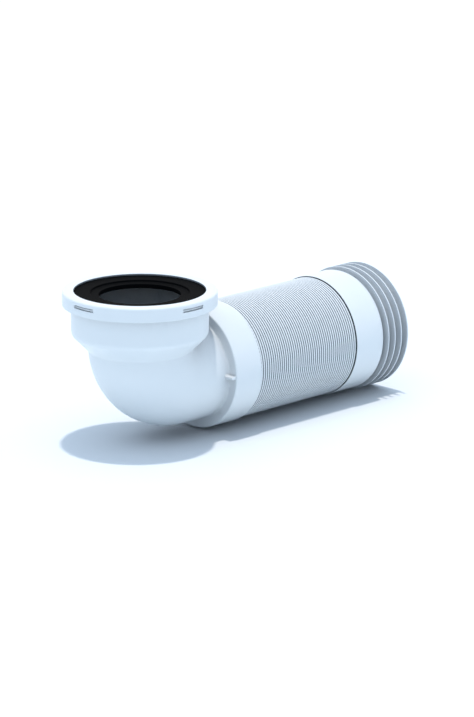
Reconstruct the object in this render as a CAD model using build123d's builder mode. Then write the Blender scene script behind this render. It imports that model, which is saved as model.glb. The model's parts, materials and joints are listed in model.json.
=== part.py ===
from build123d import *

import os
from math import cos, radians, tan

# Flexible toilet pan connector, in millimetres.
# The origin is the middle of the inlet's mouth, in the top plane of the retaining ring.
# +Z leaves the inlet towards the pan, and +X runs along the hose towards the soil pipe.

# Elbow: inlet socket, cone and bend
socket_radius = 61.2
socket_wall = 2.7
socket_depth = 39.4
rim_width = 4.9
rim_height = 4.5
cone_angle = 45.0
cone_round = 8.0
throat_round = 6.0
tail_height = 8.0
tail_draft = 2.6
tube_radius = 46.5
tube_wall = 2.8
bend_radius = 36.0
hose_axis_drop = 83.5

# Elbow: outlet run, collar and the ribs on the collar's shoulder
outlet_run = 30.8
collar_step = 9.6
shoulder_fillet = 6.0
collar_wall = 2.8
collar_length = 32.1
collar_round = 1.5
mouth_round = 0.8
rib_width = 3.0
rib_proud = 5.5
rib_round = 1.2

# Snap lugs on the rim, and the retaining ring that clicks over them
lug_count = 4
lug_width = 23.0
lug_height = 2.0
lug_drop = 0.9
lug_reach = 1.8
lug_lead = 0.8
window_clearance = 0.5
ring_clearance = 0.3
ring_wall = 2.6
ring_height = 12.9
ring_top = 2.0
ring_overhang = 0.3
ring_round = 1.8
ring_edge_round = 0.5

# Rubber inlet seal
seal_flange = 1.5
seal_flange_margin = 1.0
seal_clearance = 0.15
seal_wall = 2.2
seal_sleeve = 8.0
upstand_wall = 1.5
upstand_clearance = 0.3
upstand_draft = 0.4
plate_thickness = 1.8
plate_recess = 0.3
plate_dish = 0.4
groove_width = 2.2
groove_depth = 0.8
lip_radius = 38.2
lip_width = 6.0
lip_height = 7.6
lip_drop = 0.7
lip_fall = 0.8
lip_round = 1.2
lip_edge_round = 0.3

# Bellows hose, drawn in until its folds lie close together
hose_reach = 123.0
fold_count = 46
fold_depth = 3.0
fold_groove = 1.1
fold_wall = 1.6
fold_gap = 0.4
cuff_wall = 3.9
cuff_clearance = 0.3

# Outlet spigot
spigot_length = 35.1
spigot_round = 3.0
spigot_recess = 1.6
spigot_recess_depth = 5.0
spigot_step = 7.0
spigot_tube_wall = 2.8
spigot_nose = 1.0

# Finned outlet seal
sleeve_clearance = 0.15
sleeve_wall = 1.8
sleeve_end = 0.2
fin_count = 4
fin_depth = 6.95
fin_first = 5.4
fin_pitch = 8.5
fin_rim = 1.2
fin_root = 2.4
fin_lean = 1.0

# Radii and levels that follow
rim_radius = socket_radius + rim_width
ring_bore = rim_radius + ring_clearance
ring_radius = ring_bore + ring_wall
socket_bore = socket_radius - socket_wall
ring_mouth = socket_bore + ring_overhang
tube_bore = tube_radius - tube_wall
collar_radius = tube_radius + collar_step
collar_bore = collar_radius - collar_wall
spigot_tube_radius = collar_radius - spigot_step
rim_level = -(ring_top + seal_flange)
lug_top = rim_level - lug_drop
lug_bottom = lug_top - lug_height
lug_radius = rim_radius + lug_reach
bend_level = bend_radius - hose_axis_drop

# The cone narrows from socket to tube, with the socket's wall measured square to its slope
cone_slope = tan(radians(cone_angle))
cone_wall = socket_wall / cos(radians(cone_angle))
cone_top = -socket_depth
cone_bottom = cone_top - (socket_radius - tube_radius) / cone_slope
inner_cone_top = cone_top + (cone_wall - socket_wall) / cone_slope
inner_cone_point = inner_cone_top - socket_bore / cone_slope

# Stations along the hose
shoulder_x = bend_radius + outlet_run
collar_floor_x = shoulder_x + collar_wall
collar_end_x = shoulder_x + collar_length
spigot_start_x = collar_end_x + hose_reach
spigot_end_x = spigot_start_x + spigot_length
spigot_floor_x = spigot_end_x - collar_wall
first_fin_x = spigot_end_x + fin_first
last_fin_x = first_fin_x + (fin_count - 1) * fin_pitch
sleeve_end_x = last_fin_x + fin_lean + fin_root / 2 + sleeve_end
nose_x = sleeve_end_x + spigot_nose

bend_angle = 90
hose_plane = Plane(origin=(0, 0, -hose_axis_drop), x_dir=(1, 0, 0), z_dir=(0, -1, 0))
hose_axis = Axis((0, 0, -hose_axis_drop), (1, 0, 0))
bend_axis = Axis((bend_radius, 0, bend_level), (0, -1, 0))

os.makedirs("parts", exist_ok=True)


def corners(profile, *points):
    """Vertices of a profile that lie at the given points."""
    return [profile.vertices().sort_by_distance((x, y, 0))[0] for x, y in points]


def bend_section(radius):
    """Round section at the top of the bend, cut off where it would cross the bend's axis."""
    with BuildSketch(Plane.XY.offset(bend_level)) as section:
        Circle(radius)
        split(bisect_by=Plane.YZ.offset(bend_radius), keep=Keep.BOTTOM)
    return section.sketch


# Elbow: one moulding from the rim to the hose collar
with BuildPart() as elbow:
    # Socket with its rim flange, and the cone that runs out into the bend
    with BuildSketch(Plane.XZ) as socket_outside:
        with BuildLine():
            Polyline(
                (0, rim_level),
                (rim_radius, rim_level),
                (rim_radius, rim_level - rim_height),
                (socket_radius, rim_level - rim_height),
                (socket_radius, cone_top),
                (tube_radius, cone_bottom),
                (tube_radius - tail_draft, cone_bottom - tail_height),
                (0, cone_bottom - tail_height),
                close=True,
            )
        make_face()
        fillet(corners(socket_outside, (socket_radius, cone_top)), cone_round)
        fillet(corners(socket_outside, (tube_radius, cone_bottom)), throat_round)
    revolve(axis=Axis.Z)

    # Neck and quarter bend
    with BuildSketch(Plane.XY.offset(bend_level)):
        Circle(tube_radius)
    extrude(amount=rim_level - bend_level)
    revolve(bend_section(tube_radius), axis=bend_axis, revolution_arc=bend_angle)

    # Outlet run and the collar that takes the hose
    with BuildSketch(hose_plane) as run_outside:
        with BuildLine():
            Polyline(
                (bend_radius, 0),
                (bend_radius, tube_radius),
                (shoulder_x, tube_radius),
                (shoulder_x, collar_radius),
                (collar_end_x, collar_radius),
                (collar_end_x, 0),
                close=True,
            )
        make_face()
        fillet(corners(run_outside, (shoulder_x, tube_radius)), shoulder_fillet)
        fillet(corners(run_outside, (shoulder_x, collar_radius)), collar_round)
        fillet(corners(run_outside, (collar_end_x, collar_radius)), mouth_round)
    revolve(axis=hose_axis)

    # A rib with a rounded top on each side of the collar's shoulder
    rib_inner = tube_radius - tube_wall / 2
    rib_outer = collar_radius - collar_round
    for side in (-1, 1):
        with BuildSketch(Plane.XZ.offset(side * rib_inner)) as rib_section:
            with Locations((shoulder_x - rib_proud / 2, -hose_axis_drop)):
                Rectangle(rib_proud, rib_width)
            fillet(rib_section.vertices().group_by(Axis.X)[0], rib_round)
        extrude(amount=side * (rib_outer - rib_inner))

    # Four snap lugs round the rim, chamfered on top where the ring slides on
    with BuildSketch(Plane.XY.offset(lug_bottom)):
        with PolarLocations(0, lug_count // 2, angular_range=180):
            Rectangle(2 * lug_radius, lug_width)
        Circle(lug_radius, mode=Mode.INTERSECT)
        Circle(socket_radius, mode=Mode.SUBTRACT)
    extrude(amount=lug_height)
    arcs = elbow.edges().filter_by(GeomType.CIRCLE)
    lug_arcs = arcs.filter_by(lambda arc: arc.radius > rim_radius + lug_lead)
    chamfer(lug_arcs.group_by(Axis.Z)[-1], lug_lead)

    # Waterway: socket, inner cone, bend, outlet run and hose pocket
    with BuildSketch(Plane.XZ):
        with BuildLine():
            Polyline(
                (0, 0),
                (socket_bore, 0),
                (socket_bore, inner_cone_top),
                (0, inner_cone_point),
                close=True,
            )
        make_face()
    revolve(axis=Axis.Z, mode=Mode.SUBTRACT)
    with BuildSketch(Plane.XY.offset(bend_level)):
        Circle(tube_bore)
    extrude(amount=-bend_level, mode=Mode.SUBTRACT)
    revolve(bend_section(tube_bore), axis=bend_axis, revolution_arc=bend_angle, mode=Mode.SUBTRACT)
    with BuildSketch(hose_plane):
        with BuildLine():
            Polyline(
                (bend_radius, 0),
                (bend_radius, tube_bore),
                (collar_floor_x, tube_bore),
                (collar_floor_x, collar_bore),
                (collar_end_x, collar_bore),
                (collar_end_x, 0),
                close=True,
            )
        make_face()
    revolve(axis=hose_axis, mode=Mode.SUBTRACT)

elbow.part.label = "elbow"
export_step(elbow.part, "parts/elbow.step")


# Retaining ring: a turned-in top, a skirt over the rim and four windows for the lugs
with BuildPart() as retaining_ring:
    with BuildSketch(Plane.XZ) as ring_section:
        with BuildLine():
            Polyline(
                (ring_mouth, 0),
                (ring_radius, 0),
                (ring_radius, -ring_height),
                (ring_bore, -ring_height),
                (ring_bore, -ring_top),
                (ring_mouth, -ring_top),
                close=True,
            )
        make_face()
        fillet(corners(ring_section, (ring_radius, 0)), ring_round)
        fillet(corners(ring_section, (ring_radius, -ring_height), (ring_mouth, 0)), ring_edge_round)
    revolve(axis=Axis.Z)
    with BuildSketch(Plane.XY.offset(lug_bottom - window_clearance)):
        with PolarLocations(0, lug_count // 2, angular_range=180):
            Rectangle(2 * ring_radius + ring_wall, lug_width + 2 * window_clearance)
        Circle(socket_radius, mode=Mode.SUBTRACT)
    extrude(amount=lug_height + 2 * window_clearance, mode=Mode.SUBTRACT)

retaining_ring.part.label = "retaining_ring"
export_step(retaining_ring.part, "parts/retaining_ring.step")


# Inlet seal: flange under the ring, upstand in its mouth, short sleeve in the socket and thick inner lip
with BuildPart() as inlet_seal:
    flange_radius = rim_radius - seal_flange_margin
    sleeve_radius = socket_bore - seal_clearance
    sleeve_bore = sleeve_radius - seal_wall
    upstand_radius = ring_mouth - upstand_clearance
    upstand_bore = upstand_radius - upstand_wall
    plate_level = -ring_top - plate_recess
    plate_inner_level = plate_level - plate_dish
    plate_underside = plate_level - plate_thickness
    lip_outer = lip_radius + lip_width
    lip_edge = -lip_drop - lip_fall
    lip_bottom = -lip_drop - lip_height
    with BuildSketch(Plane.XZ) as seal_section:
        with BuildLine():
            Polyline(
                (flange_radius, -ring_top),
                (upstand_radius, -ring_top),
                (upstand_radius, -upstand_clearance),
                (upstand_bore, -upstand_clearance),
                (upstand_bore - upstand_draft, plate_level),
                (lip_outer + groove_width, plate_inner_level),
                (lip_outer + groove_width / 2, plate_inner_level - groove_depth),
                (lip_outer, plate_inner_level),
                (lip_outer, -lip_drop),
                (lip_radius, lip_edge),
                (lip_radius, lip_bottom),
                (lip_outer, lip_bottom),
                (lip_outer, plate_underside),
                (sleeve_bore, plate_underside),
                (sleeve_bore, rim_level - seal_sleeve),
                (sleeve_radius, rim_level - seal_sleeve),
                (sleeve_radius, rim_level),
                (flange_radius, rim_level),
                close=True,
            )
        make_face()
        fillet(corners(seal_section, (lip_outer, -lip_drop)), lip_round)
        fillet(corners(seal_section, (lip_radius, lip_edge)), lip_edge_round)
        fillet(corners(seal_section, (lip_outer, lip_bottom), (lip_radius, lip_bottom)), lip_round)
    revolve(axis=Axis.Z)

inlet_seal.part.label = "inlet_seal"
export_step(inlet_seal.part, "parts/inlet_seal.step")


# Flexible hose: a plain cuff in each collar, with pleats between that close up against each other
with BuildPart() as flexible_hose:
    cuff_radius = collar_bore - cuff_clearance
    hose_bore = cuff_radius - cuff_wall
    root_radius = hose_bore + fold_wall
    crest_radius = root_radius + fold_depth
    hose_start_x = collar_floor_x + cuff_clearance
    hose_end_x = spigot_floor_x - cuff_clearance
    folds_start_x = collar_end_x + fold_gap
    folds_end_x = spigot_start_x - fold_gap
    pitch = (folds_end_x - folds_start_x) / fold_count
    outline = [(hose_start_x, hose_bore), (hose_start_x, cuff_radius), (folds_start_x, cuff_radius)]
    outline.append((folds_start_x, root_radius))
    for fold in range(fold_count):
        fold_x = folds_start_x + fold * pitch
        outline.append((fold_x + fold_groove / 2, crest_radius))
        outline.append((fold_x + pitch - fold_groove / 2, crest_radius))
        outline.append((fold_x + pitch, root_radius))
    outline += [(folds_end_x, cuff_radius), (hose_end_x, cuff_radius), (hose_end_x, hose_bore)]
    with BuildSketch(hose_plane):
        with BuildLine():
            Polyline(*outline, close=True)
        make_face()
    revolve(axis=hose_axis)

flexible_hose.part.label = "flexible_hose"
export_step(flexible_hose.part, "parts/flexible_hose.step")


# Outlet spigot: a collar over the hose's far cuff and the narrower tube that carries the fins
with BuildPart() as outlet_spigot:
    spigot_tube_bore = spigot_tube_radius - spigot_tube_wall
    recess_radius = collar_bore + spigot_recess
    recess_end_x = spigot_start_x + spigot_recess_depth
    with BuildSketch(hose_plane) as spigot_section:
        with BuildLine():
            Polyline(
                (spigot_start_x, recess_radius),
                (spigot_start_x, collar_radius),
                (spigot_end_x, collar_radius),
                (spigot_end_x, spigot_tube_radius),
                (nose_x, spigot_tube_radius),
                (nose_x, spigot_tube_bore),
                (spigot_floor_x, spigot_tube_bore),
                (spigot_floor_x, collar_bore),
                (recess_end_x, collar_bore),
                (recess_end_x, recess_radius),
                close=True,
            )
        make_face()
        fillet(corners(spigot_section, (spigot_end_x, collar_radius)), spigot_round)
    revolve(axis=hose_axis)

outlet_spigot.part.label = "outlet_spigot"
export_step(outlet_spigot.part, "parts/outlet_spigot.step")


# Outlet seal: a soft sleeve on the spigot's tube with thin tapered fins that lean towards the hose
with BuildPart() as outlet_seal:
    sleeve_inner = spigot_tube_radius + sleeve_clearance
    sleeve_outer = sleeve_inner + sleeve_wall
    fin_radius = sleeve_outer + fin_depth
    outline = [(spigot_end_x, sleeve_inner), (spigot_end_x, sleeve_outer)]
    for fin in range(fin_count):
        rim_x = first_fin_x + fin * fin_pitch
        root_x = rim_x + fin_lean
        outline.append((root_x - fin_root / 2, sleeve_outer))
        outline.append((rim_x - fin_rim / 2, fin_radius))
        outline.append((rim_x + fin_rim / 2, fin_radius))
        outline.append((root_x + fin_root / 2, sleeve_outer))
    outline += [(sleeve_end_x, sleeve_outer), (sleeve_end_x, sleeve_inner)]
    with BuildSketch(hose_plane):
        with BuildLine():
            Polyline(*outline, close=True)
        make_face()
    revolve(axis=hose_axis)

outlet_seal.part.label = "outlet_seal"
export_step(outlet_seal.part, "parts/outlet_seal.step")
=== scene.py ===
"""Flexible toilet pan connector: its visible meshes, finishes, light and camera.

Every piece is in metres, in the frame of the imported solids. The origin is the middle of the inlet's
mouth, +Z leaves the inlet towards the pan, and +X runs along the hose to the outlet.
"""

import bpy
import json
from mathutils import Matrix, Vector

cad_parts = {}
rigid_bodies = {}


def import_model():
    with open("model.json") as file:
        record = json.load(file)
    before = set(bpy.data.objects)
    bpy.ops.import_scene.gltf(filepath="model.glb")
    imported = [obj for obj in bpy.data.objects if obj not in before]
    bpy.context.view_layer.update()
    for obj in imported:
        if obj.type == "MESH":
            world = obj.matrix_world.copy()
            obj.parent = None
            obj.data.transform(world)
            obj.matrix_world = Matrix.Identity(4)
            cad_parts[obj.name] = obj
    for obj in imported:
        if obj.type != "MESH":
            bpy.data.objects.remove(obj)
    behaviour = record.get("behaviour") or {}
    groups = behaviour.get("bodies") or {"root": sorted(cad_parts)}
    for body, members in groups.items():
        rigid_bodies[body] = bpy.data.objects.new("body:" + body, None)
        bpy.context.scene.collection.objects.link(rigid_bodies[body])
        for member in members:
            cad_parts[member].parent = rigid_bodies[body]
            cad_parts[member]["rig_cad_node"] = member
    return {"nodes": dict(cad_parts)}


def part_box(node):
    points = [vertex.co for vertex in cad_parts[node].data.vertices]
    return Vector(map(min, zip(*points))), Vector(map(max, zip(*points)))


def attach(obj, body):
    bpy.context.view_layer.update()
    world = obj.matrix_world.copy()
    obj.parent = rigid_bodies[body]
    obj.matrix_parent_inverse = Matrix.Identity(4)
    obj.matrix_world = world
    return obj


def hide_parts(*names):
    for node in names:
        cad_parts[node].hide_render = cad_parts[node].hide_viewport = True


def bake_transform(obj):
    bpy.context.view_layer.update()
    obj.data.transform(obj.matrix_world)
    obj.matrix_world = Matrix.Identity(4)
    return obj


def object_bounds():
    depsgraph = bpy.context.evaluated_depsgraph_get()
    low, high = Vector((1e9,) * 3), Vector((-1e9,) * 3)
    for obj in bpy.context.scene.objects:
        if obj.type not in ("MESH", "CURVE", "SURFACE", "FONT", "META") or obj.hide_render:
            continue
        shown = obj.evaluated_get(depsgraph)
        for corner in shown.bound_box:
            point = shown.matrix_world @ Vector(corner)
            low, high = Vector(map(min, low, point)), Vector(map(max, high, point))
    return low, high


bl_info = {
    "name": "Flexible pan connector",
    "version": (1, 0, 0),
    "blender": (4, 5, 0),
    "location": "3D View > Sidebar > Connector",
    "description": "Models and finishes the pieces of a flexible toilet pan connector",
    "category": "Object",
}

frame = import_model()

import json
import math

import bpy
from mathutils import Matrix, Vector

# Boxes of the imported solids, which the sizes below start from
CAD_LOW, CAD_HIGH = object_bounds()
ELBOW_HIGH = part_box("elbow")[1]
RING_LOW, RING_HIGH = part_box("retaining_ring")
SEAL_LOW, SEAL_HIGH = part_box("inlet_seal")
HOSE_LOW, HOSE_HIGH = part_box("flexible_hose")
SPIGOT_LOW, SPIGOT_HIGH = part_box("outlet_spigot")
FINS_LOW, FINS_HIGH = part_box("outlet_seal")
HOSE_AXIS_Z = (HOSE_LOW.z + HOSE_HIGH.z) / 2

# Middle of the socket's wall, its depth down to the cone, and where the painted shade inside it starts and
# ends
SOCKET_MIDDLE = 0.0595
SOCKET_DEPTH = 0.0360
THROAT_START = 0.00025
THROAT_EDGE = 0.0005
THROAT_FADE = 1 / 300

# Clouds and grain of the moulded materials: waves to the metre, and how much of them shows
CLOUD_SCALE = 26.0
CLOUD_DETAIL = 3.0
CLOUD_START = 0.35
CLOUD_CONTRAST = 2.4
CLOUD_GLOSS = 0.16
GRAIN_DETAIL = 2.0
GRAIN_GLOSS = 0.08
GRAIN_STRENGTH = 0.35
NOISE_MIDDLE = 0.5
PLASTIC_GRAIN = 700.0
FIN_GRAIN = 1100.0
RUBBER_GRAIN = 1500.0
PLASTIC_RELIEF = 0.00003
RUBBER_RELIEF = 0.00006
PLASTIC_SPECULAR = 0.5

FULL_TURN = 2 * math.pi
QUARTER_TURN = math.pi / 2
MERGE_DISTANCE = 1e-5
SMOOTH_ANGLE = math.radians(35)
ARC_STEP = math.radians(15)
TURN_DIGITS = 2


def length(name, description, default):
    """A size in metres that can be changed in the panel."""
    return bpy.props.FloatProperty(
        name=name, description=description, default=default, min=0, unit="LENGTH", precision=5
    )


def count(name, description, default):
    """A number of like things."""
    return bpy.props.IntProperty(name=name, description=description, default=default, min=1)


def angle(name, description, degrees):
    """An angle, given here in degrees."""
    return bpy.props.FloatProperty(
        name=name, description=description, default=math.radians(degrees), subtype="ANGLE"
    )


def share(name, description, default):
    """A number from 0 to 1."""
    return bpy.props.FloatProperty(
        name=name, description=description, default=default, min=0, max=1, subtype="FACTOR"
    )


def amount(name, description, default):
    """A plain number that isn't below 0."""
    return bpy.props.FloatProperty(name=name, description=description, default=default, min=0)


def colour(name, description, default):
    """A linear colour."""
    return bpy.props.FloatVectorProperty(
        name=name, description=description, default=default, size=3, min=0, max=1, subtype="COLOR"
    )


class ElbowSizes(bpy.types.PropertyGroup):
    """Where the elbow's collar sits on its tube, and the corner between them."""

    tube: length("Tube", "Outer radius of the tube", 0.0465)
    shoulder: length("Shoulder", "From the inlet's line to the collar's shoulder", 0.0668)
    fillet: length("Fillet", "Round that the solid has in that corner", 0.0060)
    corner_start: angle("Corner start", "Turn along the round where its points go to the shoulder", 40)
    corner_end: angle("Corner end", "Turn along the round up to which its points go to the tube", 45)
    run: length("Run", "From the inlet's line to the straight tube before the collar", 0.0520)
    collar_back: length("Collar back", "How far the collar sits back from the solid's", 0.0014)


class RingSizes(bpy.types.PropertyGroup):
    """Section and windows of the retaining ring."""

    steps: count("Steps", "Facets round the ring, a multiple of four", 252)
    radius: length("Radius", "Outer radius of the skirt", RING_HIGH.x)
    height: length("Height", "Height of the ring", RING_HIGH.z - RING_LOW.z)
    mouth: length("Mouth", "Radius of the opening over the seal", 0.0588)
    wall: length("Wall", "Thickness of the skirt", 0.0026)
    top: length("Top", "Thickness of the turned-in top", 0.0020)
    shoulder: length("Shoulder", "Round between top and skirt", 0.0018)
    edge: length("Edge", "Round on the free edges", 0.0005)
    windows: count("Windows", "Slots that the lugs click into", 4)
    window_steps: count("Window steps", "Facets across a window", 14)
    window_drop: length("Window drop", "From the top of the ring to a window", 0.0039)
    window_height: length("Window height", "Height of a window", 0.0030)
    window_edge: length("Window edge", "Round on a window's outer edge", 0.00025)


class SealSizes(bpy.types.PropertyGroup):
    """Section of the rubber inlet seal."""

    steps: count("Steps", "Facets round the seal", 192)
    flange: length("Flange", "Radius of the flange under the ring", SEAL_HIGH.x)
    flange_thickness: length("Flange thickness", "Thickness of the flange", 0.0015)
    flange_drop: length("Flange drop", "From the ring's top to the flange", 0.0020)
    sleeve: length("Sleeve", "Outer radius of the sleeve in the socket", 0.05835)
    sleeve_wall: length("Sleeve wall", "Thickness of the sleeve", 0.0022)
    plate_thickness: length("Plate thickness", "Thickness of the plate", 0.0021)
    plate_dish: length("Plate dish", "Fall of the plate towards the lip", 0.0003)
    plate_round: length("Plate round", "Round on the plate's inner edge", 0.0006)
    lip: length("Lip", "Radius of the lip's opening", 0.0364)
    lip_width: length("Lip width", "Width of the lip", 0.0078)
    lip_height: length("Lip height", "Height of the lip", 0.0045)
    lip_drop: length("Lip drop", "From the ring's top to the lip", 0.0038)
    lip_fall: length("Lip fall", "Fall of the lip's top towards its opening", 0.0003)
    lip_round: length("Lip round", "Round on the lip's outer corners", 0.0012)
    edge: length("Edge", "Round on the moulded edges", 0.0004)


class HoseSizes(bpy.types.PropertyGroup):
    """Pleats and cuffs of the bellows hose."""

    steps: count("Steps", "Facets round the hose", 144)
    folds: count("Folds", "Number of pleats", 46)
    crest: length("Crest", "Radius over the pleats", 0.0549)
    depth: length("Depth", "Depth of a pleat", 0.0030)
    groove: length("Groove", "Width of the gap between two pleats", 0.0011)
    crest_round: length("Crest round", "Round on each side of a pleat's crest", 0.0003)
    end_gap: length("End gap", "From a collar's mouth to the first pleat", 0.0004)
    edge: length("Edge", "Round on the edges of the cuffs", 0.0004)
    cuff: length("Cuff", "Radius of the plain cuffs", 0.0530)
    bore: length("Bore", "Radius inside the cuffs", 0.0491)
    inner_ridge: length("Inner ridge", "Radius inside the roots of the pleats", 0.0507)
    inner_crest: length("Inner crest", "Radius inside the crests of the pleats", 0.0533)
    shade_depth: share("Shade depth", "Share of a pleat's depth where its colour is deepest", 0.10)


class SpigotSizes(bpy.types.PropertyGroup):
    """Collar and tube of the outlet spigot."""

    steps: count("Steps", "Facets round the spigot", 192)
    collar: length("Collar", "Radius of the collar", SPIGOT_HIGH.y)
    collar_length: length("Collar length", "Length of the collar", 0.0351)
    wall: length("Wall", "Thickness of the walls", 0.0028)
    recess: length("Recess", "Gap round the hose in the collar's mouth", 0.0022)
    recess_depth: length("Recess depth", "Depth of that gap", 0.0050)
    chamfer: length("Chamfer", "Length of the chamfer at the collar's shoulder", 0.0022)
    chamfer_fall: length("Chamfer fall", "Fall of that chamfer", 0.0006)
    tube: length("Tube", "Radius of the tube that carries the fins", 0.0491)
    edge: length("Edge", "Round on the free edges", 0.0004)


class FinSizes(bpy.types.PropertyGroup):
    """Sleeve and fins of the outlet seal."""

    steps: count("Steps", "Facets round the fins", 192)
    fins: count("Fins", "Number of fins", 4)
    radius: length("Radius", "Radius over the fins", FINS_HIGH.y)
    sleeve: length("Sleeve", "Inner radius of the sleeve", 0.04925)
    wall: length("Wall", "Thickness of the sleeve", 0.0006)
    first: length("First", "From the sleeve's start to the first fin's rim", 0.0054)
    pitch: length("Pitch", "From one fin to the next", 0.0085)
    rim: length("Rim", "Thickness of a fin at its rim", 0.0012)
    root: length("Root", "Thickness of a fin at its root", 0.0024)
    lean: length("Lean", "How far a rim leans towards the hose", 0.0010)
    rim_round: length("Rim round", "Round on a rim's corners", 0.0003)
    root_round: length("Root round", "Round in the corners between the fins", 0.0005)


class Finishes(bpy.types.PropertyGroup):
    """Colours and gloss of the four materials."""

    white: colour("White plastic", "Moulded elbow, ring and spigot", (0.870, 0.875, 0.870))
    white_cloud: colour("White cloud", "Faint flow clouds in the white plastic", (0.850, 0.857, 0.857))
    # Painted shade: a dark grey that stands in for the shade down in the ring's mouth and the socket
    painted_throat_shade: colour("Throat", "White plastic down in the mouth", (0.25, 0.26, 0.27))
    white_roughness: share("White roughness", "Roughness of the white plastic", 0.36)
    hose: colour("Hose", "Pleated hose", (0.870, 0.876, 0.876))
    hose_cloud: colour("Hose cloud", "Faint clouds in the hose", (0.850, 0.858, 0.860))
    # Painted shade: a near black that stands in for the shade between the pleats and in the gap at the far
    # collar
    hose_groove_shade: colour("Hose root", "Hose down between its pleats", (0.040, 0.050, 0.060))
    hose_roughness: share("Hose roughness", "Roughness of the hose", 0.46)
    rubber: colour("Black rubber", "Inlet seal", (0.0040, 0.0041, 0.0045))
    rubber_bloom: colour("Rubber bloom", "Faint bloom on the black rubber", (0.0055, 0.0057, 0.0062))
    rubber_roughness: share("Rubber roughness", "Roughness of the black rubber", 0.55)
    rubber_specular: share("Rubber specular", "How much the black rubber reflects", 0.004)
    fin: colour("Fin rubber", "Finned outlet seal", (0.825, 0.833, 0.837))
    fin_cloud: colour("Fin cloud", "Faint clouds in the fin rubber", (0.800, 0.810, 0.817))
    fin_roughness: share("Fin roughness", "Roughness of the fin rubber", 0.52)


class StageSettings(bpy.types.PropertyGroup):
    """Floor, light and camera."""

    floor_size: length("Floor size", "Width of the floor", 8.0)
    floor: colour("Floor", "Floor as the camera sees it", (1.0, 1.0, 1.0))
    floor_light: colour("Floor light", "Floor as the part sees it", (0.900, 0.960, 0.990))
    horizon: colour("Horizon", "Light from the sides", (0.250, 0.315, 0.397))
    zenith: colour("Zenith", "Light from overhead", (0.628, 0.796, 1.0))
    sky_strength: amount("Sky strength", "Strength of the light all round", 1.22)
    bounces: bpy.props.IntProperty(
        name="Bounces", description="How often light passes on between matt surfaces", default=1, min=0
    )
    sun: colour("Sun", "Colour of the overhead lamp", (1.0, 0.99, 0.97))
    sun_strength: amount("Sun strength", "Strength of the overhead lamp", 1.40)
    sun_angle: angle("Sun angle", "Width of the overhead lamp", 2.2)
    sun_tilt: angle("Sun tilt", "Lean of the overhead lamp to the camera's right", 1.2)
    heading: angle("Heading", "Camera's direction, from +Y towards +X", 44.93)
    pitch: angle("Pitch", "How far the camera looks down", 15.2)
    distance: length("Distance", "From the camera to the point it looks at", 3.559)
    aim_right: length("Aim right", "From the bend's corner to that point, across the view", 0.0860)
    aim_up: length("Aim up", "From the bend's corner to that point, up the view", 0.0195)
    lens: bpy.props.FloatProperty(
        name="Lens", description="Focal length for a 36 mm film", default=200.8, min=1, unit="CAMERA"
    )


class ConnectorSettings(bpy.types.PropertyGroup):
    """Everything that the panel can change."""

    elbow: bpy.props.PointerProperty(name="Elbow", description="Elbow", type=ElbowSizes)
    ring: bpy.props.PointerProperty(name="Ring", description="Retaining ring", type=RingSizes)
    seal: bpy.props.PointerProperty(name="Seal", description="Inlet seal", type=SealSizes)
    hose: bpy.props.PointerProperty(name="Hose", description="Bellows hose", type=HoseSizes)
    spigot: bpy.props.PointerProperty(name="Spigot", description="Outlet spigot", type=SpigotSizes)
    fins: bpy.props.PointerProperty(name="Fins", description="Outlet seal", type=FinSizes)
    finishes: bpy.props.PointerProperty(name="Finishes", description="Materials", type=Finishes)
    stage: bpy.props.PointerProperty(name="Stage", description="Floor and light", type=StageSettings)


# Shader nodes

class Socket:
    """An output of a shader node. Arithmetic on it adds Math nodes."""

    def __init__(self, nodes, output):
        self.nodes = nodes
        self.output = output

    def other(self, name):
        """Another output of the same node."""
        return Socket(self.nodes, self.output.node.outputs[name])

    def math(self, operation, first, second):
        """A Math node on two values."""
        return self.nodes.add("ShaderNodeMath", {"operation": operation}, {0: first, 1: second})

    def __add__(self, other):
        return self.math("ADD", self, other)

    def __radd__(self, other):
        return self.math("ADD", other, self)

    def __sub__(self, other):
        return self.math("SUBTRACT", self, other)

    def __rsub__(self, other):
        return self.math("SUBTRACT", other, self)

    def __mul__(self, other):
        return self.math("MULTIPLY", self, other)

    def __rmul__(self, other):
        return self.math("MULTIPLY", other, self)

    def __truediv__(self, other):
        return self.math("DIVIDE", self, other)

    def __rtruediv__(self, other):
        return self.math("DIVIDE", other, self)


class Nodes:
    """An empty node tree that nodes are added to."""

    def __init__(self, tree):
        self.tree = tree
        tree.nodes.clear()

    def add(self, kind, settings=None, inputs=None, output=0):
        """Add a node of a type with its settings, feed its sockets and return one of its outputs."""
        node = self.tree.nodes.new(kind)
        for name, value in (settings or {}).items():
            setattr(node, name, value)
        for name, value in (inputs or {}).items():
            if isinstance(value, Socket):
                self.tree.links.new(value.output, node.inputs[name])
            else:
                node.inputs[name].default_value = value
        return Socket(self, node.outputs[output]) if node.outputs else None


def rgba(linear):
    """A colour socket's value."""
    return (*linear, 1.0)


def noise(nodes, place, scale, detail):
    """Soft noise of about 0.5, with that many waves to the metre."""
    return nodes.add("ShaderNodeTexNoise", {}, {"Vector": place, "Scale": scale, "Detail": detail})


def distance(nodes, first, second):
    """How far out a place is, from its two parts across a line."""
    return nodes.add("ShaderNodeMath", {"operation": "SQRT"}, {0: first * first + second * second})


def mix_colour(nodes, factor, first, second):
    """The first colour, going over to the second as the factor rises."""
    # A Mix node has sockets of the same names for each kind of data, so a colour's go by number
    settings = {"data_type": "RGBA", "clamp_factor": True}
    return nodes.add("ShaderNodeMix", settings, {0: factor, 6: first, 7: second}, 2)


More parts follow.
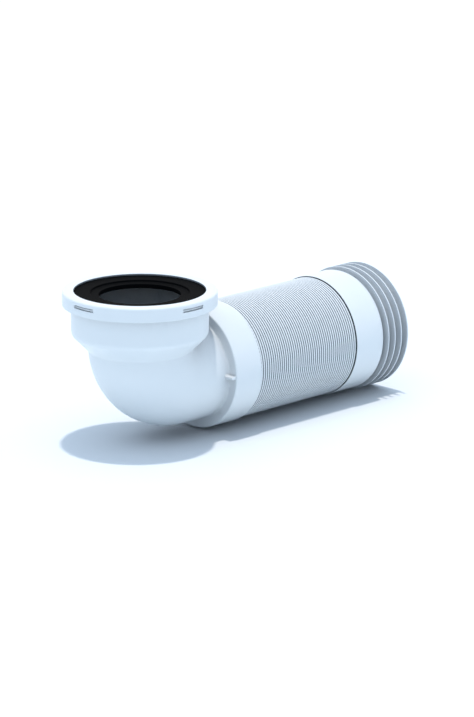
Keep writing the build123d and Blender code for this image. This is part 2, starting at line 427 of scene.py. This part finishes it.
def moulded(
    name,
    base,
    clouds,
    roughness,
    specular=PLASTIC_SPECULAR,
    grain=PLASTIC_GRAIN,
    relief=PLASTIC_RELIEF,
    shade=None,
):
    """A moulded material: faint clouds in its colour, uneven gloss and a fine grain."""
    material = bpy.data.materials.new(name)
    material.use_nodes = True
    nodes = Nodes(material.node_tree)
    place = nodes.add("ShaderNodeTexCoord", output="Object")
    cloud = noise(nodes, place, CLOUD_SCALE, CLOUD_DETAIL)
    fine = noise(nodes, place, grain, GRAIN_DETAIL)
    tint = mix_colour(nodes, (cloud - CLOUD_START) * CLOUD_CONTRAST, rgba(base), rgba(clouds))
    if shade:
        tint = shade(nodes, place, tint)
    gloss = roughness + (cloud - NOISE_MIDDLE) * CLOUD_GLOSS + (fine - NOISE_MIDDLE) * GRAIN_GLOSS
    bump = nodes.add(
        "ShaderNodeBump", {}, {"Strength": GRAIN_STRENGTH, "Distance": relief, "Height": fine}
    )
    shader = nodes.add(
        "ShaderNodeBsdfPrincipled",
        {},
        {"Base Color": tint, "Roughness": gloss, "Specular IOR Level": specular, "Normal": bump},
    )
    nodes.add("ShaderNodeOutputMaterial", {}, {"Surface": shader})
    return material


# Modelling

INLET_LINE = (Vector((0, 0, 0)), Vector((0, 0, 1)), Vector((1, 0, 0)))
HOSE_LINE = (Vector((0, 0, HOSE_AXIS_Z)), Vector((1, 0, 0)), Vector((0, 0, 1)))


def rounded(corners, arc_step=ARC_STEP):
    """Points of a closed outline whose corners, given as (along, out, round), become arcs."""
    points = []
    for before, corner, after in zip(corners[-1:] + corners[:-1], corners, corners[1:] + corners[:1]):
        place = Vector(corner[:2])
        radius = corner[2]
        if radius == 0:
            points.append(place)
            continue
        back = (Vector(before[:2]) - place).normalized()
        ahead = (Vector(after[:2]) - place).normalized()
        half = back.angle(ahead) / 2
        centre = place + (back + ahead).normalized() * (radius / math.sin(half))
        start = place + back * (radius / math.tan(half)) - centre
        end = place + ahead * (radius / math.tan(half)) - centre
        turn = math.copysign(math.pi - 2 * half, start.x * end.y - start.y * end.x)
        steps = math.ceil(abs(turn) / arc_step)
        points += [centre + Matrix.Rotation(turn * k / steps, 2) @ start for k in range(steps + 1)]
    return points


def deselect():
    """Nothing selected, in object mode."""
    if bpy.context.mode != "OBJECT":
        bpy.ops.object.mode_set(mode="OBJECT")
    bpy.ops.object.select_all(action="DESELECT")


def close_up():
    """Merge the doubles of the piece being edited, face it outwards and leave edit mode."""
    bpy.ops.mesh.select_all(action="SELECT")
    bpy.ops.mesh.remove_doubles(threshold=MERGE_DISTANCE)
    bpy.ops.mesh.normals_make_consistent(inside=False)
    bpy.ops.object.mode_set(mode="OBJECT")


def turned(name, line, outline, steps):
    """A solid turned from a closed outline of (along, out) points round the inlet's or hose's line."""
    centre, axis, side = line
    places = [centre + axis * along + side * out for along, out in outline]
    deselect()
    bpy.ops.mesh.primitive_plane_add(size=MERGE_DISTANCE, location=(0, 0, 0))
    piece = bpy.context.object
    piece.name = name
    piece.data.name = name
    bpy.ops.object.mode_set(mode="EDIT")
    bpy.ops.mesh.select_mode(type="VERT")
    bpy.ops.mesh.select_all(action="SELECT")
    bpy.ops.mesh.merge(type="CENTER")
    bpy.ops.transform.translate(value=places[0])
    for before, after in zip(places, places[1:] + places[:1]):
        bpy.ops.mesh.extrude_region_move(TRANSFORM_OT_translate={"value": after - before})
    bpy.ops.mesh.select_all(action="SELECT")
    bpy.ops.mesh.remove_doubles(threshold=MERGE_DISTANCE)
    bpy.ops.mesh.select_all(action="SELECT")
    bpy.ops.mesh.spin(steps=steps, angle=FULL_TURN, center=centre, axis=axis)
    close_up()
    return piece


def select(piece, kind, choose):
    """Select what is chosen from the mesh, all points, edges or faces, and go into edit mode."""
    bpy.ops.object.mode_set(mode="EDIT")
    bpy.ops.mesh.select_mode(type=kind)
    bpy.ops.mesh.select_all(action="DESELECT")
    bpy.ops.object.mode_set(mode="OBJECT")
    chosen = choose(piece.data)
    if not chosen:
        raise RuntimeError(f"nothing of {piece.name} was found where something should be")
    for part in chosen:
        part.select = True
    bpy.ops.object.mode_set(mode="EDIT")


def select_points(piece, test):
    """Select the points that pass the test."""
    select(piece, "VERT", lambda mesh: [point for point in mesh.vertices if test(point.co)])


def select_faces(piece, test):
    """Select the faces whose middle passes the test."""
    select(piece, "FACE", lambda mesh: [face for face in mesh.polygons if test(face.center)])


def select_edges(piece, test):
    """Select the edges whose two ends pass the test."""
    def ends_pass(mesh, edge):
        return all(test(mesh.vertices[end].co) for end in edge.vertices)

    select(piece, "EDGE", lambda mesh: [edge for edge in mesh.edges if ends_pass(mesh, edge)])


def copy_of(node, name):
    """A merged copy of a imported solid's mesh, as a piece of its own."""
    deselect()
    source = frame["nodes"][node]
    source.select_set(True)
    bpy.context.view_layer.objects.active = source
    bpy.ops.object.duplicate()
    piece = bpy.context.object
    piece.name = name
    piece.data.name = name
    del piece["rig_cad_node"]
    bpy.ops.object.mode_set(mode="EDIT")
    close_up()
    return piece


def shade_by_angle(piece):
    """Smooth shading up to an angle."""
    deselect()
    piece.select_set(True)
    bpy.context.view_layer.objects.active = piece
    bpy.ops.object.shade_smooth_by_angle(angle=SMOOTH_ANGLE)


def smooth(piece):
    """Smooth shading up to an angle, with large flat faces kept flat."""
    shade_by_angle(piece)
    bpy.ops.object.modifier_add(type="WEIGHTED_NORMAL")
    piece.modifiers[-1].keep_sharp = True
    bpy.ops.object.modifier_apply(modifier=piece.modifiers[-1].name)


def dress(piece, node, material):
    """Give a finished piece its material and hide the solid it stands for."""
    piece.data.materials.clear()
    piece.data.materials.append(material)
    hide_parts(node)


def white_plastic(finishes):
    """The white plastic, made once for all the pieces that share it."""
    found = bpy.data.materials.get("moulded_white_plastic")
    if found:
        return found
    return moulded(
        "moulded_white_plastic",
        finishes.white,
        finishes.white_cloud,
        finishes.white_roughness,
        # The white plastic carries painted shade inside the ring's mouth and the socket
        shade=lambda nodes, place, tint: painted_throat_shade(nodes, place, tint, finishes.painted_throat_shade),
    )


def painted_throat_shade(nodes, place, tint, deep):
    """Painted shade: let the colour deepen inside the ring's mouth and the socket, down to the cone, where
    shade falls.
    """
    level = nodes.add("ShaderNodeSeparateXYZ", {}, {0: place}, "Z")
    inside = (SOCKET_MIDDLE - distance(nodes, level.other("X"), level.other("Y"))) / THROAT_EDGE
    under = (RING_HIGH.z - THROAT_START - level) / THROAT_EDGE
    over = (level + SOCKET_DEPTH) / THROAT_FADE
    factor = inside.math("MINIMUM", inside, under.math("MINIMUM", under, over))
    return mix_colour(nodes, factor, tint, rgba(deep))


class CONNECTOR_OT_elbow(bpy.types.Operator):
    """Make the elbow's moulding from its solid."""

    bl_idname = "connector.elbow"
    bl_label = "Elbow"

    def execute(self, context):
        settings = context.scene.connector
        piece = copy_of("elbow", "elbow_moulding")
        self.tighten(piece, settings.elbow)
        self.draw_back(piece, settings.elbow)
        smooth(piece)
        dress(piece, "elbow", white_plastic(settings.finishes))
        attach(piece, "elbow_end")
        return {"FINISHED"}

    def tighten(self, piece, elbow):
        """Draw the round between tube and shoulder into a tight corner, ring of points by ring."""
        slack = 5 * MERGE_DISTANCE
        centre_x = elbow.shoulder - elbow.fillet
        centre_out = elbow.tube + elbow.fillet

        def out(point):
            return math.hypot(point.y, point.z - HOSE_AXIS_Z)

        def turn(point):
            """Angle along the round from the tube, the same for all of a ring, or none off the round."""
            ahead = point.x - centre_x
            inward = centre_out - out(point)
            on_round = abs(math.hypot(ahead, inward) - elbow.fillet) < slack
            if on_round and ahead > slack and inward > slack:
                return round(math.atan2(ahead, inward), TURN_DIGITS)
            return None

        turns = {turn(point.co) for point in piece.data.vertices}
        for ring in sorted(turns - {None}):
            radius = centre_out - elbow.fillet * math.cos(ring)
            inner = elbow.tube / radius if ring < elbow.corner_end else 1
            flat = 0 if ring > elbow.corner_start else 1
            select_points(piece, lambda point: turn(point) == ring)
            bpy.ops.transform.resize(
                value=(flat, inner, inner), center_override=(elbow.shoulder, 0, HOSE_AXIS_Z)
            )
            bpy.ops.object.mode_set(mode="OBJECT")

    def draw_back(self, piece, elbow):
        """Draw the collar and its ribs back along the tube."""
        select_points(piece, lambda point: point.x > elbow.run)
        bpy.ops.transform.translate(value=(-elbow.collar_back, 0, 0))
        bpy.ops.object.mode_set(mode="OBJECT")


class CONNECTOR_OT_ring(bpy.types.Operator):
    """Turn the retaining ring and cut its windows."""

    bl_idname = "connector.ring"
    bl_label = "Retaining ring"

    def execute(self, context):
        settings = context.scene.connector
        ring = settings.ring
        bore = ring.radius - ring.wall
        window_low = -ring.window_drop - ring.window_height
        outline = rounded([
            (0, ring.mouth, ring.edge),
            (0, ring.radius, ring.shoulder),
            (-ring.window_drop, ring.radius, 0),
            (window_low, ring.radius, 0),
            (-ring.height, ring.radius, ring.edge),
            (-ring.height, bore, ring.edge / 2),
            (window_low, bore, 0),
            (-ring.window_drop, bore, 0),
            (-ring.top, bore, ring.edge),
            (-ring.top, ring.mouth, ring.edge),
        ])
        piece = turned("snap_ring", INLET_LINE, outline, ring.steps)
        for window in range(ring.windows):
            self.cut_window(piece, ring, window * FULL_TURN / ring.windows)
        smooth(piece)
        dress(piece, "retaining_ring", white_plastic(settings.finishes))
        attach(piece, "elbow_end")
        return {"FINISHED"}

    def cut_window(self, piece, ring, direction):
        """Open the skirt in one direction, wall the opening and round its outer edge."""
        slack = MERGE_DISTANCE
        half_width = (ring.window_steps / 2) * FULL_TURN / ring.steps
        low = -ring.window_drop - ring.window_height
        bore = ring.radius - ring.wall
        toward = Matrix.Rotation(-direction, 3, "Z")

        def in_window(point):
            turned_back = toward @ point
            bearing = abs(math.atan2(turned_back.y, turned_back.x))
            inside = bearing < half_width + slack and low - slack < point.z < -ring.window_drop + slack
            return inside and Vector(point[:2]).length > bore - 10 * slack

        def outside(point):
            return in_window(point) and Vector(point[:2]).length > ring.radius - slack

        select_faces(piece, in_window)
        bpy.ops.mesh.delete(type="FACE")
        bpy.ops.object.mode_set(mode="OBJECT")
        select_edges(piece, in_window)
        bpy.ops.mesh.bridge_edge_loops()
        bpy.ops.mesh.select_all(action="SELECT")
        bpy.ops.mesh.normals_make_consistent(inside=False)
        bpy.ops.object.mode_set(mode="OBJECT")
        select_edges(piece, outside)
        bpy.ops.mesh.bevel(offset=ring.window_edge, segments=2, affect="EDGES")
        bpy.ops.object.mode_set(mode="OBJECT")


class CONNECTOR_OT_seal(bpy.types.Operator):
    """Turn the rubber inlet seal."""

    bl_idname = "connector.seal"
    bl_label = "Inlet seal"

    def execute(self, context):
        settings = context.scene.connector
        finishes = settings.finishes
        seal = settings.seal
        piece = turned("pan_seal", INLET_LINE, rounded(self.section(seal)), seal.steps)
        smooth(piece)
        material = moulded(
            "black_rubber",
            finishes.rubber,
            finishes.rubber_bloom,
            finishes.rubber_roughness,
            specular=finishes.rubber_specular,
            grain=RUBBER_GRAIN,
            relief=RUBBER_RELIEF,
        )
        dress(piece, "inlet_seal", material)
        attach(piece, "elbow_end")
        return {"FINISHED"}

    def section(self, seal):
        """Corners of the seal's section, from the flange inwards over the lip and back down the sleeve."""
        sleeve_bore = seal.sleeve - seal.sleeve_wall
        lip_outer = seal.lip + seal.lip_width
        lip_low = -seal.lip_drop - seal.lip_height
        plate_inner = -seal.flange_drop - seal.plate_dish
        plate_low = -seal.flange_drop - seal.plate_thickness
        flange_low = -seal.flange_drop - seal.flange_thickness
        edge = seal.edge
        return [
            (-seal.flange_drop, seal.flange, edge),
            (plate_inner, lip_outer, seal.plate_round),
            (-seal.lip_drop, lip_outer, edge),
            (-seal.lip_drop - seal.lip_fall, seal.lip, edge),
            (lip_low, seal.lip, seal.lip_round),
            (lip_low, lip_outer + seal.sleeve_wall, seal.lip_round),
            (plate_low, lip_outer + seal.sleeve_wall, edge),
            (plate_low, sleeve_bore, edge),
            (SEAL_LOW.z, sleeve_bore, edge),
            (SEAL_LOW.z, seal.sleeve, edge),
            (flange_low, seal.sleeve, edge),
            (flange_low, seal.flange, edge),
        ]


class CONNECTOR_OT_hose(bpy.types.Operator):
    """Turn the bellows hose with all its pleats."""

    bl_idname = "connector.hose"
    bl_label = "Bellows hose"

    def execute(self, context):
        settings = context.scene.connector
        finishes = settings.finishes
        hose = settings.hose
        near = ELBOW_HIGH.x - settings.elbow.collar_back
        far = SPIGOT_LOW.x
        outline = rounded(self.section(hose, near + hose.end_gap, far - hose.end_gap), 2 * ARC_STEP)
        piece = turned("bellows_hose", HOSE_LINE, outline, hose.steps)
        self.mark_groove_shade(piece, hose)
        shade_by_angle(piece)
        material = moulded(
            "hose_plastic",
            finishes.hose,
            finishes.hose_cloud,
            finishes.hose_roughness,
            # The hose carries painted shade down between its pleats and on its cuffs
            shade=lambda nodes, place, tint: self.paint_groove_shade(nodes, tint, hose, finishes),
        )
        dress(piece, "flexible_hose", material)
        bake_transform(piece)
        return {"FINISHED"}

    def section(self, hose, start, end):
        """Corners of the hose's section: cuff, pleats and cuff outside, and the folds inside back again."""
        pitch = (end - start) / hose.folds
        root = hose.crest - hose.depth
        edge = hose.edge
        outer = [(HOSE_LOW.x, hose.bore, 0), (HOSE_LOW.x, hose.cuff, edge), (start, hose.cuff, edge)]
        inner = []
        for fold in range(hose.folds):
            along = start + fold * pitch
            outer.append((along, root, 0))
            outer.append((along + hose.groove / 2, hose.crest, hose.crest_round))
            outer.append((along + pitch - hose.groove / 2, hose.crest, hose.crest_round))
            inner.append((along, hose.inner_ridge, 0))
            inner.append((along + pitch / 2, hose.inner_crest, 0))
        outer += [(end, root, 0), (end, hose.cuff, edge), (HOSE_HIGH.x, hose.cuff, edge)]
        outer += [(HOSE_HIGH.x, hose.bore, 0), (end, hose.bore, 0), (end, hose.inner_ridge, 0)]
        return outer + inner[::-1] + [(start, hose.bore, 0)]

    def mark_groove_shade(self, piece, hose):
        """Note on the mesh which points lie at the roots between the pleats or on the hidden cuffs, where
        shade is painted.
        """
        deep = (hose.crest - hose.depth, hose.cuff)
        slack = 10 * MERGE_DISTANCE
        marks = piece.data.attributes.new("groove", "FLOAT", "POINT")
        for point in piece.data.vertices:
            out = math.hypot(point.co.y, point.co.z - HOSE_AXIS_Z)
            marks.data[point.index].value = any(abs(out - level) < slack for level in deep)

    def paint_groove_shade(self, nodes, tint, hose, finishes):
        """Painted shade: let the colour deepen from the crests of the pleats down to their roots."""
        groove = nodes.add("ShaderNodeAttribute", {"attribute_name": "groove"}, output="Fac")
        return mix_colour(nodes, groove / hose.shade_depth, tint, rgba(finishes.hose_groove_shade))


class CONNECTOR_OT_spigot(bpy.types.Operator):
    """Turn the outlet spigot."""

    bl_idname = "connector.spigot"
    bl_label = "Outlet spigot"

    def execute(self, context):
        settings = context.scene.connector
        spigot = settings.spigot
        start = SPIGOT_LOW.x
        nose = SPIGOT_HIGH.x
        shoulder = start + spigot.collar_length
        bore = spigot.collar - spigot.wall
        outline = rounded([
            (start, bore + spigot.recess, 0),
            (start, spigot.collar, spigot.edge),
            (shoulder - spigot.chamfer, spigot.collar, spigot.edge),
            (shoulder, spigot.collar - spigot.chamfer_fall, spigot.edge),
            (shoulder, spigot.tube, spigot.edge),
            (nose, spigot.tube, spigot.edge * 2),
            (nose, spigot.tube - spigot.wall, spigot.edge * 2),
            (shoulder - spigot.wall, spigot.tube - spigot.wall, spigot.edge),
            (shoulder - spigot.wall, bore, spigot.edge),
            (start + spigot.recess_depth, bore, spigot.edge),
            (start + spigot.recess_depth, bore + spigot.recess, spigot.edge),
        ])
        piece = turned("spigot_moulding", HOSE_LINE, outline, spigot.steps)
        smooth(piece)
        dress(piece, "outlet_spigot", white_plastic(settings.finishes))
        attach(piece, "outlet_end")
        return {"FINISHED"}


class CONNECTOR_OT_fins(bpy.types.Operator):
    """Turn the finned outlet seal."""

    bl_idname = "connector.fins"
    bl_label = "Outlet seal"

    def execute(self, context):
        settings = context.scene.connector
        finishes = settings.finishes
        fins = settings.fins
        sleeve = fins.sleeve + fins.wall
        corners = [(FINS_LOW.x, fins.sleeve, 0), (FINS_LOW.x, sleeve, 0)]
        for fin in range(fins.fins):
            rim = FINS_LOW.x + fins.first + fin * fins.pitch
            root = rim + fins.lean
            corners.append((root - fins.root / 2, sleeve, fins.root_round))
            corners.append((rim - fins.rim / 2, fins.radius, fins.rim_round))
            corners.append((rim + fins.rim / 2, fins.radius, fins.rim_round))
            corners.append((root + fins.root / 2, sleeve, fins.root_round))
        # The last root runs into the sleeve's end, so it has no room for a round
        corners[-1] = (*corners[-1][:2], 0)
        corners += [(FINS_HIGH.x, sleeve, 0), (FINS_HIGH.x, fins.sleeve, 0)]
        piece = turned("fin_seal", HOSE_LINE, rounded(corners), fins.steps)
        smooth(piece)
        material = moulded(
            "pale_fin_rubber", finishes.fin, finishes.fin_cloud, finishes.fin_roughness, grain=FIN_GRAIN
        )
        dress(piece, "outlet_seal", material)
        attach(piece, "outlet_end")
        return {"FINISHED"}


class CONNECTOR_OT_stage(bpy.types.Operator):
    """Lay the floor and set up the light and the camera."""

    bl_idname = "connector.stage"
    bl_label = "Stage"

    def execute(self, context):
        stage = context.scene.connector.stage
        context.scene.view_settings.view_transform = "Standard"
        self.lay_floor(stage)
        self.light(context.scene, stage)
        self.place_camera(context.scene, stage)
        return {"FINISHED"}

    def lay_floor(self, stage):
        """A pale floor under the lowest fin, clear from below, that gives a bluish light back."""
        deselect()
        bpy.ops.mesh.primitive_plane_add(size=stage.floor_size, location=(0, 0, CAD_LOW.z))
        floor = bpy.context.object
        floor.name = "floor"
        material = bpy.data.materials.new("pale_floor")
        material.use_nodes = True
        nodes = Nodes(material.node_tree)
        tint = mix_colour(nodes, self.seen(nodes), rgba(stage.floor_light), rgba(stage.floor))
        surface = nodes.add("ShaderNodeBsdfDiffuse", {}, {"Color": tint})
        clear = nodes.add("ShaderNodeBsdfTransparent")
        below = nodes.add("ShaderNodeNewGeometry", output="Backfacing")
        both = nodes.add("ShaderNodeMixShader", {}, {0: below, 1: surface, 2: clear})
        nodes.add("ShaderNodeOutputMaterial", {}, {"Surface": both})
        floor.data.materials.append(material)

    def seen(self, nodes):
        """1 for what the camera sees, also in gloss and through clear things, and 0 for light."""
        ray = nodes.add("ShaderNodeLightPath", output="Is Camera Ray")
        return ray + ray.other("Is Glossy Ray") + ray.other("Is Transmission Ray")

    def light(self, scene, stage):
        """A bluish sky all round, white where it is seen, and a soft overhead sun."""
        scene.cycles.diffuse_bounces = stage.bounces
        scene.world = bpy.data.worlds.new("studio")
        scene.world.use_nodes = True
        nodes = Nodes(scene.world.node_tree)
        upward = nodes.add("ShaderNodeSeparateXYZ", {}, {0: nodes.add("ShaderNodeTexCoord")}, "Z")
        light = mix_colour(nodes, upward, rgba(stage.horizon), rgba(stage.zenith))
        tint = mix_colour(nodes, self.seen(nodes), light, rgba((1, 1, 1)))
        sky = nodes.add("ShaderNodeBackground", {}, {"Color": tint, "Strength": stage.sky_strength})
        nodes.add("ShaderNodeOutputWorld", {}, {"Surface": sky})
        bpy.ops.object.light_add(type="SUN", location=(0, 0, stage.distance))
        sun = bpy.context.object
        sun.data.energy = stage.sun_strength
        sun.data.color = stage.sun
        sun.data.angle = stage.sun_angle
        across = Vector((math.cos(stage.heading), -math.sin(stage.heading), 0))
        down = Vector((0, 0, -math.cos(stage.sun_tilt))) - across * math.sin(stage.sun_tilt)
        sun.rotation_euler = down.to_track_quat("-Z", "Y").to_euler()

    def place_camera(self, scene, stage):
        """A long lens that looks down on the bend's corner."""
        level = math.cos(stage.pitch)
        ahead = Vector((
            math.sin(stage.heading) * level,
            math.cos(stage.heading) * level,
            -math.sin(stage.pitch),
        ))
        across = Vector((math.cos(stage.heading), -math.sin(stage.heading), 0))
        aim = Vector((0, 0, HOSE_AXIS_Z)) + across * stage.aim_right + across.cross(ahead) * stage.aim_up
        bpy.ops.object.camera_add(
            location=aim - ahead * stage.distance,
            rotation=(QUARTER_TURN - stage.pitch, 0, -stage.heading),
        )
        camera = bpy.context.object
        camera.data.lens = stage.lens
        scene.camera = camera


BUILD_STEPS = ("elbow", "ring", "seal", "hose", "spigot", "fins", "stage")


class CONNECTOR_PT_panel(bpy.types.Panel):
    """Buttons that build the connector piece by piece, each over the sizes that it uses."""

    bl_idname = "CONNECTOR_PT_panel"
    bl_label = "Flexible pan connector"
    bl_space_type = "VIEW_3D"
    bl_region_type = "UI"
    bl_category = "Connector"

    def draw(self, context):
        settings = context.scene.connector
        for step in BUILD_STEPS:
            box = self.layout.box()
            box.operator(f"connector.{step}")
            self.list_settings(box, getattr(settings, step))
        self.list_settings(self.layout.box(), settings.finishes)

    def list_settings(self, layout, group):
        """A field for each setting of a group."""
        for name in type(group).__annotations__:
            layout.prop(group, name)


CLASSES = (
    ElbowSizes,
    RingSizes,
    SealSizes,
    HoseSizes,
    SpigotSizes,
    FinSizes,
    Finishes,
    StageSettings,
    ConnectorSettings,
    CONNECTOR_OT_elbow,
    CONNECTOR_OT_ring,
    CONNECTOR_OT_seal,
    CONNECTOR_OT_hose,
    CONNECTOR_OT_spigot,
    CONNECTOR_OT_fins,
    CONNECTOR_OT_stage,
    CONNECTOR_PT_panel,
)


def register():
    """Add the classes, and the settings to every scene."""
    for cls in CLASSES:
        bpy.utils.register_class(cls)
    bpy.types.Scene.connector = bpy.props.PointerProperty(type=ConnectorSettings)


def unregister():
    """Take away what register added."""
    del bpy.types.Scene.connector
    for cls in reversed(CLASSES):
        bpy.utils.unregister_class(cls)


def main():
    """Build every piece and the stage."""
    register()
    for step in BUILD_STEPS:
        getattr(bpy.ops.connector, step)()


if __name__ == "__main__":
    main()
